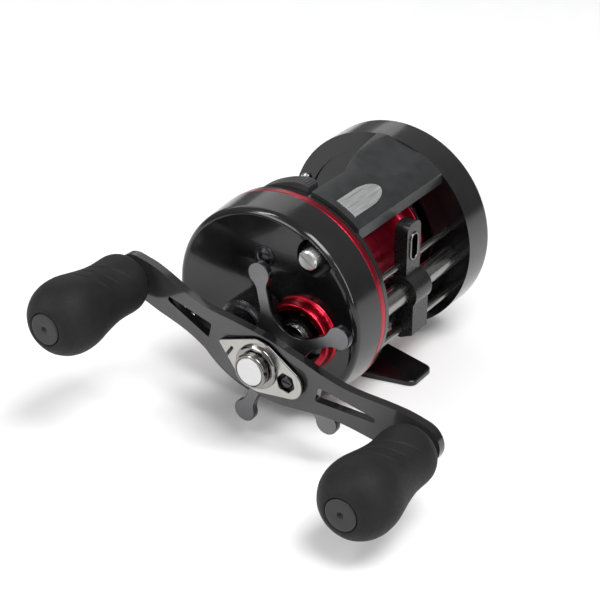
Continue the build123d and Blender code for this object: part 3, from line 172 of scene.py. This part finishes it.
def faced(name, face, edge, face_roughness, edge_roughness, grain=5200):
    """Satin metal with painted light: the flat faces towards the handle side are painted lighter and the edges
    painted darker as painted shade; the edges are also more polished.
    """
    n = Nodes(name, face, metallic=1.0)
    # Painted light: faces square to -X take the lighter colour, the edges and sides the darker one as painted shade;
    # the noise on top is random tone.
    flat = n.below(n.facing_handle(), -0.995, 0.06)
    wear = n.noise(180, 4)
    shade = n.math("MULTIPLY", flat, n.spread(wear, 0.84, 1.0))
    n.tint(shade, edge, face, 0.0, 1.0)
    rubbed = n.spread(n.noise(900, 3), edge_roughness - 0.02, edge_roughness + 0.05)
    n.feed(n.shader.inputs["Roughness"], n.math("ADD", n.math("MULTIPLY", flat, face_roughness - edge_roughness), rubbed))
    n.bump(n.noise(grain, 2), 0.35, 0.000008)
    return n.material


def capped_nut(name, disc, body, centre, cap_radius, cap_start):
    """Nickel nut with a satin white metal disc let into the end of its cap."""
    n = Nodes(name, body, metallic=1.0)
    along, radius, angle = n.around(centre)
    inside = n.below(radius, cap_radius * MM, 0.00006)
    on_disc = n.math("MULTIPLY", inside, n.below(along, cap_start * MM, 0.00002))
    lines = n.turned(centre)
    n.tint(n.math("MULTIPLY", on_disc, n.spread(lines, 0.93, 1.0)), body, disc, 0.0, 1.0)
    satin = n.math("MULTIPLY", on_disc, 0.3)
    n.feed(n.shader.inputs["Roughness"], n.math("ADD", satin, n.spread(lines, 0.12, 0.18)))
    n.bump(lines, 0.4, 0.000004)
    return n.material


def enamel(name, dark, light, roughness, coat, specular=0.4, paint_light_on_faces=False):
    """Sprayed black: faint orange peel, fingerprints in the gloss, tiny dust; if asked, the -X faces are painted
    lighter as painted light and the sides stay dark as painted shade.
    """
    n = Nodes(name, dark, roughness=0.2, specular=specular, coat=coat, coat_roughness=0.04)
    shade = n.noise(70, 2)
    if paint_light_on_faces:
        # Painted light: faces square to -X get the lighter colour and the sides keep the dark colour as painted
        # shade.
        flat = n.below(n.facing_handle(), -0.9, 0.12)
        shade = n.math("MULTIPLY", flat, n.spread(shade, 0.75, 1.0))
    n.tint(shade, dark, light, 0.0 if paint_light_on_faces else 0.3, 1.0 if paint_light_on_faces else 0.7)
    n.rough(n.noise(140, 5, roughness=0.7), roughness - 0.04, roughness + 0.07)
    n.bump(n.noise(900, 2), 0.25, 0.000006)
    n.bump(n.noise(5200, 1), 0.3, 0.000002)
    return n.material


def lathed(name, low, high, roughness, centre=(0.0, 0.0), relief=0.000006, coat=0.0):
    """Turned metal with lathe lines and a slow change of tone."""
    n = Nodes(name, high, metallic=1.0, coat=coat)
    lines = n.turned(centre)
    n.tint(n.noise(160, 3), low, high)
    n.rough(lines, roughness - 0.06, roughness + 0.08)
    n.bump(lines, 0.5, relief)
    return n.material


def blasted(name, low, high, roughness, metallic=1.0, grain=3800):
    """Bead-blasted or cast surface with fine grain."""
    n = Nodes(name, high, metallic=metallic)
    n.tint(n.noise(220, 4), low, high)
    n.rough(n.noise(grain / 3, 3), roughness - 0.05, roughness + 0.06)
    n.bump(n.noise(grain, 2), 0.4, 0.00001)
    return n.material


def brushed(name, low, high, roughness, stretch, relief=0.000008):
    """Straight brushing along one axis."""
    n = Nodes(name, high, metallic=1.0)
    lines = n.noise(2200, 4, stretch=stretch)
    n.tint(lines, low, high)
    n.rough(lines, roughness - 0.08, roughness + 0.08)
    n.bump(lines, 0.5, relief)
    return n.material


def moulded(name, low, high, roughness, grain=2600, relief=0.000012, specular=0.5, waves=0.00002):
    """Moulded plastic or rubber with a fine skin."""
    n = Nodes(name, high, specular=specular)
    n.tint(n.noise(120, 3), low, high)
    n.rough(n.noise(grain / 4, 4), roughness - 0.06, roughness + 0.06)
    n.bump(n.noise(grain, 3), 0.5, relief)
    n.bump(n.noise(300, 2), 0.3, waves)
    return n.material


def diamond_knurl(name, low, high, roughness, centre, turns, pitch):
    """Black anodised metal with a fine crossed knurl on its round side."""
    n = Nodes(name, high, metallic=0.85)
    along, radius, angle = n.around(centre)
    wound = n.math("MULTIPLY", angle, turns)
    ahead = n.math("MULTIPLY", along, 2 * pi / (pitch * MM))
    right = n.math("SINE", n.math("ADD", wound, ahead))
    left = n.math("SINE", n.math("SUBTRACT", wound, ahead))
    n.tint(n.noise(300, 3), low, high)
    n.rough(n.noise(900, 3), roughness - 0.05, roughness + 0.05)
    n.bump(n.math("MULTIPLY", right, left), 0.45, 0.00004)
    return n.material


MAIN = (-13.1, -3.1)
BLACK = enamel("enamel_black", (0.0036, 0.0036, 0.004), (0.0068, 0.0068, 0.0073), 0.15, 0.22)
# The handle arm's faces square to -X are painted lighter as painted light, and its sides stay dark as painted shade.
BLACK_ARM = enamel("enamel_handle", (0.003, 0.003, 0.0034), (0.036, 0.036, 0.0365), 0.16, 0.3, 0.4, paint_light_on_faces=True)
RED = lathed("anodised_red", (0.25, 0.005, 0.017), (0.38, 0.009, 0.03), 0.3, coat=0.2)
RED_SPOOL = lathed("anodised_red_spool", (0.4, 0.01, 0.036), (0.58, 0.018, 0.055), 0.32, coat=0.2)
RED_COLLAR = lathed("anodised_red_collar", (0.28, 0.004, 0.014), (0.44, 0.008, 0.024), 0.3, MAIN, coat=0.2)
GRAPHITE = blasted("satin_graphite", (0.016, 0.0165, 0.017), (0.028, 0.0285, 0.03), 0.36, metallic=0.35)
# Painted light: the faces towards the handle side get the lighter colour, the edges and sides the darker one as
# painted shade.
GUNMETAL = faced("gunmetal_satin", (0.165, 0.165, 0.168), (0.03, 0.03, 0.032), 0.36, 0.16)
KNURLED = diamond_knurl("black_anodised_knurl", (0.022, 0.022, 0.024), (0.036, 0.036, 0.038), 0.26, (0, 0), 60, 0.9)
STEEL = lathed("turned_steel", (0.42, 0.42, 0.43), (0.58, 0.58, 0.585), 0.22)
STEEL_MAIN = lathed("turned_steel_drive", (0.42, 0.42, 0.43), (0.58, 0.58, 0.585), 0.2, MAIN)
SCREW = lathed("screw_steel", (0.66, 0.66, 0.65), (0.82, 0.82, 0.81), 0.3)
# Painted light: the nut retainer's faces towards the handle side get the lighter nickel, its edges the darker one as
# painted shade.
NICKEL = faced("polished_nickel", (0.4, 0.395, 0.375), (0.11, 0.108, 0.104), 0.2, 0.12, grain=1200)
NUT = capped_nut("nut_nickel", (0.6, 0.6, 0.6), (0.25, 0.245, 0.235), MAIN, 4.05, -64.5)
ROD = brushed("rod_steel", (0.23, 0.23, 0.222), (0.28, 0.28, 0.272), 0.26, (0.06, 1, 1), 0.000003)
BADGE = brushed("badge_brushed", (0.46, 0.47, 0.46), (0.6, 0.61, 0.6), 0.42, (0.05, 1, 1))
DARK_STEEL = blasted("dark_screw", (0.03, 0.03, 0.032), (0.06, 0.06, 0.063), 0.2, grain=1500)
BRASS = lathed("machined_brass", (0.5, 0.32, 0.11), (0.68, 0.46, 0.18), 0.24, MAIN)
PLATE = brushed("plain_aluminium", (0.5, 0.5, 0.51), (0.64, 0.64, 0.65), 0.34, (1, 1, 0.08))
NYLON = moulded("moulded_nylon", (0.6, 0.59, 0.54), (0.7, 0.69, 0.64), 0.42)
CARBON = moulded("woven_carbon", (0.01, 0.01, 0.01), (0.05, 0.05, 0.052), 0.38, grain=1400)
MAGNET = blasted("nickel_magnet", (0.42, 0.42, 0.43), (0.55, 0.55, 0.56), 0.2)
GUIDE = moulded("guide_black_moulded", (0.006, 0.006, 0.0065), (0.01, 0.01, 0.0105), 0.28, 5200, 0.000002, 0.4, 0.000006)
EYE = lathed("eye_insert_steel", (0.12, 0.12, 0.122), (0.2, 0.2, 0.202), 0.12)
BUTTON = moulded("button_dark_ribbed", (0.016, 0.0165, 0.0175), (0.03, 0.031, 0.033), 0.4)
RUBBER = moulded("knob_soft_black", (0.0085, 0.0085, 0.0088), (0.0135, 0.0135, 0.0138), 0.6, 5200, specular=0.16)
KNOB_DISC = moulded("knob_disc_dark", (0.017, 0.017, 0.0172), (0.025, 0.025, 0.0255), 0.45, 3600, specular=0.3)

BY_SLOT = {
    "gloss_black_metal": BLACK, "red_anodised": RED, "satin_graphite": GRAPHITE, "gunmetal": GUNMETAL,
    "black_anodised": KNURLED, "polished_steel": STEEL, "steel_bearing": STEEL, "badge_silver": BADGE,
    "dark_screw": DARK_STEEL, "brass": BRASS, "aluminium_plate": PLATE, "nylon_gear": NYLON,
    "carbon_washer": CARBON, "magnet": MAGNET, "guide_black": GUIDE, "eye_ceramic": EYE,
    "button_grey": BUTTON, "knob_black": RUBBER, "knob_cap_dark": KNOB_DISC,
}
BY_NODE = {
    "spool": RED_SPOOL, "handle_arm": BLACK_ARM, "drag_collar": RED_COLLAR, "nut_retainer": NICKEL, "handle_nut": NUT,
    "retainer_screw": DARK_STEEL, "guide_rod_upper": ROD, "guide_rod_lower": ROD, "level_wind_tube": ROD,
    "drive_shaft": STEEL_MAIN, "drive_sleeve": STEEL_MAIN, "spring_washers": STEEL_MAIN,
    "thumb_screw_front": SCREW, "thumb_screw_lower": SCREW, "thumb_screw_rear": SCREW,
}


# ---- piece helpers ----
def place(name, mesh, node, material):
    """A finished mesh that stands for a CAD node and rides on its body."""
    piece = bpy.data.objects.new(name, mesh)
    bpy.context.scene.collection.objects.link(piece)
    mesh.materials.clear()
    mesh.materials.append(material)
    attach(piece, BODY_OF[node])
    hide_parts(node)
    return piece


def refined(node, bevel, segments=3, angle=30, material=None):
    """A bevelled, smooth-shaded copy of a CAD node."""
    mesh = frame["nodes"][node].data.copy()
    shape = bmesh.new()
    shape.from_mesh(mesh)
    bmesh.ops.remove_doubles(shape, verts=shape.verts, dist=1e-6)
    bmesh.ops.dissolve_limit(shape, angle_limit=radians(0.4), verts=shape.verts, edges=shape.edges)
    for face in shape.faces:
        face.smooth = True
    shape.to_mesh(mesh)
    shape.free()
    mesh.set_sharp_from_angle(angle=radians(angle))
    piece = place(f"{node}_piece", mesh, node, material or BY_NODE.get(node) or BY_SLOT[SLOTS[node]])
    cut = piece.modifiers.new("edge", "BEVEL")
    cut.width = bevel * MM
    cut.segments = segments
    cut.limit_method = "ANGLE"
    cut.angle_limit = radians(angle)
    cut.use_clamp_overlap = True
    cut.harden_normals = False
    cut.miter_outer = "MITER_ARC"
    weigh = piece.modifiers.new("shade", "WEIGHTED_NORMAL")
    weigh.keep_sharp = False
    return piece


def revolved(name, node, profile, centre, steps, material, groove=None):
    """A closed surface turned about an axis parallel to X; groove(along, angle) returns a depth in mm."""
    shape = bmesh.new()
    rings = []
    for along, radius in profile:
        ring = []
        for step in range(steps):
            angle = 2 * pi * step / steps
            r = radius - (groove(along, angle) if groove else 0.0)
            ring.append(shape.verts.new((
                along * MM,
                (centre[0] + r * cos(angle)) * MM,
                (AXIS_Z + centre[1] + r * sin(angle)) * MM,
            )))
        rings.append(ring)
    for ring, after in zip(rings, rings[1:] + rings[:1]):
        for step in range(steps):
            follow = (step + 1) % steps
            face = shape.faces.new((ring[step], ring[follow], after[follow], after[step]))
            face.smooth = True
    bmesh.ops.recalc_face_normals(shape, faces=shape.faces)
    mesh = bpy.data.meshes.new(name)
    shape.to_mesh(mesh)
    shape.free()
    return place(name, mesh, node, material)


def smooth_curve(points, steps):
    """Catmull-Rom points through a list of (along, radius) stations."""
    ends = [points[0], *points, points[-1]]
    curve = []
    for a, b, c, d in zip(ends, ends[1:], ends[2:], ends[3:]):
        for step in range(steps):
            t = step / steps
            curve.append(tuple(
                0.5 * (2 * q + (r - p) * t + (2 * p - 5 * q + 4 * r - s) * t**2 + (3 * q - p - 3 * r + s) * t**3)
                for p, q, r, s in zip(a, b, c, d)
            ))
    curve.append(points[-1])
    return curve


# ---- every CAD node gets a bevelled piece; what is closed away gets a small bevel ----
OUTSIDE_BEVELS = {
    "frame": 0.18, "reel_foot": 0.25, "foot_rivets": 0.2, "thumb_rest": 0.5, "badge": 0.08,
    "accent_ring": 0.12, "handle_side_plate": 0.35, "plate_screw": 0.12, "drag_collar": 0.15,
    "palm_side_plate": 0.3, "palm_plate_screws": 0.12, "guide_rod_upper": 0.12, "guide_rod_lower": 0.12,
    "level_wind_tube": 0.12, "worm_bushings": 0.1, "spool_bearings": 0.1, "anti_reverse_bearing": 0.1,
    "handle_spacer": 0.15, "handle_arm": 0.6, "nut_retainer": 0.3, "handle_nut": 0.18,
    "retainer_screw": 0.1, "knob_spindles": 0.12, "star_drag": 0.55, "spool": 0.15, "clutch_button": 0.12,
    "line_guide": 0.4, "guide_eye": 0.25, "pawl_cap": 0.1, "tension_knob": 0.1, "thumb_screw_front": 0.1,
    "thumb_screw_lower": 0.1, "thumb_screw_rear": 0.1, "spring_washers": 0.05, "drive_sleeve": 0.05,
}
HIDDEN_BEVEL = 0.05
MADE_BELOW = {"knob_grip_front", "knob_grip_rear", "knob_cap_front", "knob_cap_rear"}
for node in SLOTS:
    if node not in MADE_BELOW:
        refined(node, OUTSIDE_BEVELS.get(node, HIDDEN_BEVEL))

# ---- knobs: soft grips with three slanting grooves above and below, discs with a centre dimple ----
KNOB_CENTRES = {"front": (-59.97, -14.35), "rear": (33.77, 8.15)}
GRIP = (
    (-92.2, 5.5), (-91.9, 6.3), (-91.3, 7.1), (-90.5, 8.0), (-89.6, 8.8), (-87.5, 10.0), (-85.0, 10.7),
    (-82.5, 10.88), (-80.0, 10.7), (-77.0, 10.1), (-74.0, 9.5), (-71.0, 9.0), (-68.0, 8.7), (-65.0, 8.68),
    (-62.0, 8.78), (-60.0, 8.6), (-58.2, 7.9), (-57.2, 7.0), (-56.6, 6.0),
)
GRIP_INSIDE = (
    (-56.5, 5.4), (-56.5, 3.6), (-58.0, 3.55), (-90.9, 3.55), (-91.4, 3.6), (-91.4, 4.68), (-92.0, 4.7),
    (-92.2, 4.85),
)
GROOVE_HALF_WIDTH = 0.34
GROOVE_DEPTH = 0.35


def slanting_grooves(along, angle):
    """Depth in mm of three slanting lines on the upper and the lower side of a grip."""
    depth = 0.0
    for middle in (radians(100), radians(-80)):
        round_way = (angle - middle + pi) % (2 * pi) - pi
        across = 8.6 * round_way
        if abs(across) > 6.5 or not -80 < along < -62:
            continue
        for start in (-77.0, -72.5, -68.0):
            offset = abs(along - start - 0.55 * across)
            if offset < GROOVE_HALF_WIDTH:
                fade = min(1.0, (6.5 - abs(across)) / 1.5)
                depth = max(depth, GROOVE_DEPTH * fade * (1 - (offset / GROOVE_HALF_WIDTH) ** 2))
    return depth


for side, centre in KNOB_CENTRES.items():
    revolved(
        f"knob_grip_{side}_piece", f"knob_grip_{side}", [*smooth_curve(GRIP, 9), *GRIP_INSIDE], centre, 300,
        RUBBER, slanting_grooves,
    )
    revolved(
        f"knob_cap_{side}_piece", f"knob_cap_{side}",
        [
            (-91.4, 0.02), (-91.4, 4.5), (-92.15, 4.55), (-92.38, 4.45), (-92.48, 4.25), (-92.5, 3.9),
            (-92.5, 1.15), (-92.46, 0.95), (-92.3, 0.85), (-91.95, 0.8), (-91.9, 0.02),
        ],
        centre, 96, KNOB_DISC,
    )

# ---- stage, light and camera ----
TARGET = Vector((-0.024, -0.012, 0.032))


def stage_floor():
    """A wide pale floor with a very faint grain, just under the foot."""
    shape = bmesh.new()
    bmesh.ops.create_grid(shape, x_segments=8, y_segments=8, size=4.0)
    mesh = bpy.data.meshes.new("floor")
    shape.to_mesh(mesh)
    shape.free()
    floor = bpy.data.objects.new("floor", mesh)
    floor.location = (0, 0, -0.0002)
    bpy.context.scene.collection.objects.link(floor)
    n = Nodes("floor_pale", (0.86, 0.86, 0.86), roughness=0.75, specular=0.2)
    n.tint(n.noise(40, 2), (0.85, 0.85, 0.85), (0.87, 0.87, 0.87))
    mesh.materials.append(n.material)


def area_light(name, location, size, power, aim=TARGET):
    data = bpy.data.lights.new(name, "AREA")
    data.shape = "RECTANGLE"
    data.size, data.size_y = size
    data.energy = power
    light = bpy.data.objects.new(name, data)
    light.location = location
    light.rotation_mode = "QUATERNION"
    light.rotation_quaternion = (aim - Vector(location)).to_track_quat("-Z", "Y")
    bpy.context.scene.collection.objects.link(light)


stage_floor()
area_light("key_overhead", (-0.10, -0.35, 0.75), (0.5, 0.35), 6.0)
area_light("strip_front", (-0.15, -0.75, 0.35), (0.12, 0.6), 1.6)
area_light("side_handle", (-0.75, 0.35, 0.45), (0.5, 0.4), 3.0)
area_light("edge_strip", (-0.45, 0.43, 0.69), (0.06, 0.4), 1.8)
area_light("back_rim", (0.45, 0.55, 0.5), (0.7, 0.5), 1.0)
world = bpy.data.worlds.new("studio")
world.use_nodes = True
shades = world.node_tree.nodes
links = world.node_tree.links
upward = shades.new("ShaderNodeSeparateXYZ")
links.new(shades.new("ShaderNodeTexCoord").outputs["Generated"], upward.inputs[0])
sky = shades.new("ShaderNodeValToRGB")
sky.color_ramp.elements[0].position = 0.02
sky.color_ramp.elements[0].color = (0.42, 0.42, 0.43, 1)
sky.color_ramp.elements[1].position = 0.65
sky.color_ramp.elements[1].color = (0.96, 0.96, 0.97, 1)
links.new(upward.outputs["Z"], sky.inputs["Fac"])
links.new(sky.outputs["Color"], shades["Background"].inputs["Color"])
shades["Background"].inputs["Strength"].default_value = 0.44
bpy.context.scene.world = world
bpy.context.scene.view_settings.view_transform = "Standard"

CAMERA_AT = Vector((-0.3656, -0.23175, 0.2534))
CAMERA_AZIMUTH = radians(-56.10)
CAMERA_ELEVATION = radians(28.58)
camera_data = bpy.data.cameras.new("camera")
camera_data.lens = 97.26
camera_data.sensor_width = 36
camera_data.clip_start = 0.01
camera = bpy.data.objects.new("camera", camera_data)
camera.location = CAMERA_AT
camera.rotation_mode = "QUATERNION"
look_back = Vector((
    sin(CAMERA_AZIMUTH) * cos(CAMERA_ELEVATION),
    -cos(CAMERA_AZIMUTH) * cos(CAMERA_ELEVATION),
    sin(CAMERA_ELEVATION),
))
camera.rotation_quaternion = (-look_back).to_track_quat("-Z", "Y")
bpy.context.scene.collection.objects.link(camera)
bpy.context.scene.camera = camera
